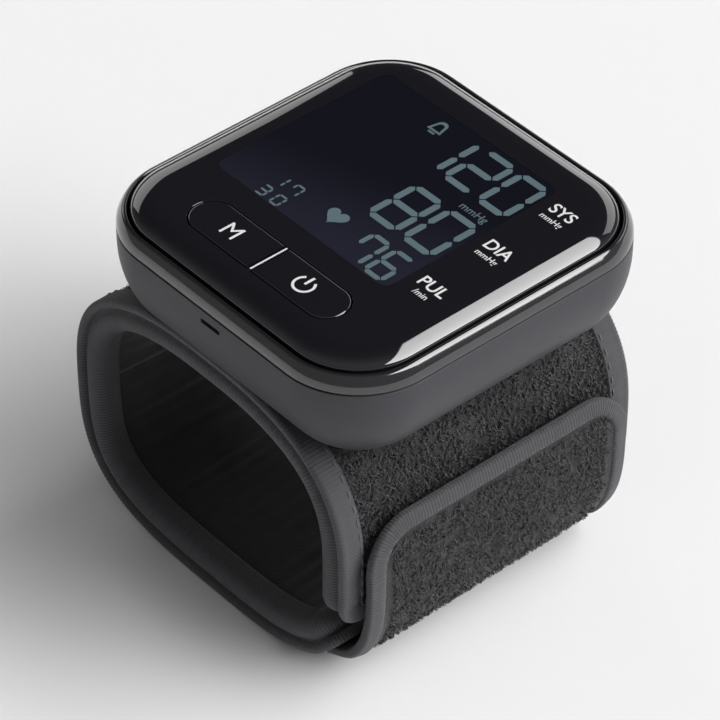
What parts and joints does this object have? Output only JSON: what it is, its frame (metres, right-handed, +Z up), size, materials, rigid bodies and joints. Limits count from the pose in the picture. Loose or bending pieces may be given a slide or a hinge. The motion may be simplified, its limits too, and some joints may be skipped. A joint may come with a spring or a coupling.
{
  "type": "wrist blood pressure monitor",
  "caption": "Wrist blood pressure monitor: a rounded display head with a split press key on a padded fabric cuff that wraps the wrist and closes with a hook-and-loop flap.",
  "frame": {"origin": "on the table under the middle of the bounding box, which spans the head and the cuff with its flap", "axes": "+X to the right across the display, +Y up the display towards its top edge and along the wrist, +Z up out of the display"},
  "size_m": [0.0756, 0.0704, 0.0721],
  "materials": {
    "gloss_black": "polished black moulding",
    "smoked_lens": "polished smoked window",
    "satin_trim": "satin dark moulding",
    "matt_housing": "fine matt moulding",
    "lcd_glass": "dark display glass",
    "white_plastic": "plain white moulding",
    "clear_plastic": "clear moulding",
    "board": "printed circuit board",
    "flex_film": "amber film",
    "steel": "plain steel",
    "black_plastic": "plain black moulding",
    "pouch_foil": "foil pouch",
    "silicone": "silicone rubber",
    "brass": "plain brass",
    "loop_pile": "charcoal loop pile",
    "edge_tape": "ribbed edge tape",
    "lining": "smooth dark knit",
    "core_sheet": "springy sheet",
    "bladder_film": "welded film",
    "foam": "soft foam",
    "hook_tape": "hook tape"
  },
  "bodies": {
    "cuff_base": {"lower_cover": "loop_pile", "lower_core": "core_sheet", "lower_pad": "foam", "lower_lining": "lining", "lower_tape": "edge_tape", "flap_root": "loop_pile"},
    "head": {"front_panel": "gloss_black", "display_window": "smoked_lens", "trim_ring": "satin_trim", "lower_housing": "matt_housing", "power_switch": "black_plastic", "memory_switch": "black_plastic", "lcd_glass": "lcd_glass", "light_guide": "clear_plastic", "display_tray": "white_plastic", "display_lead": "flex_film", "main_board": "board", "board_screw_1": "steel", "board_screw_2": "steel", "board_screw_3": "steel", "battery_cell": "pouch_foil", "charge_port": "steel", "sounder": "brass", "pump_motor": "steel", "pump_head": "white_plastic", "release_valve": "steel", "pressure_sensor": "black_plastic", "air_manifold": "silicone", "bladder_nozzle": "silicone", "cuff_screw_1": "steel", "cuff_screw_2": "steel", "upper_cover": "loop_pile", "upper_core": "core_sheet", "air_bladder": "bladder_film", "upper_lining": "lining", "upper_tape": "edge_tape"},
    "flap": {"flap_strap": "loop_pile", "hook_patch": "hook_tape"},
    "power_button": {"power_key": "gloss_black", "power_plunger": "white_plastic"},
    "memory_button": {"memory_key": "gloss_black", "memory_plunger": "white_plastic"}
  },
  "joints": [
    {"name": "cuff_flex", "type": "hinge", "parent": "cuff_base", "child": "head", "pos_m": [-0.03785, 0, 0.02675], "axis": [0, -1, 0], "range_deg": [0, 25], "stiffness_Nm_per_rad": 0.3},
    {"name": "flap_open", "type": "hinge", "parent": "cuff_base", "child": "flap", "pos_m": [0.03242, 0, 0.00722], "axis": [0, 1, 0], "range_deg": [0, 90]},
    {"name": "power_press", "type": "slide", "parent": "head", "child": "power_button", "axis": [0, 0, -1], "range_m": [0, 0.0006], "stiffness_N_per_m": 1500, "springref_m": -0.0002},
    {"name": "memory_press", "type": "slide", "parent": "head", "child": "memory_button", "axis": [0, 0, -1], "range_m": [0, 0.0006], "stiffness_N_per_m": 1500, "springref_m": -0.0002}
  ]
}
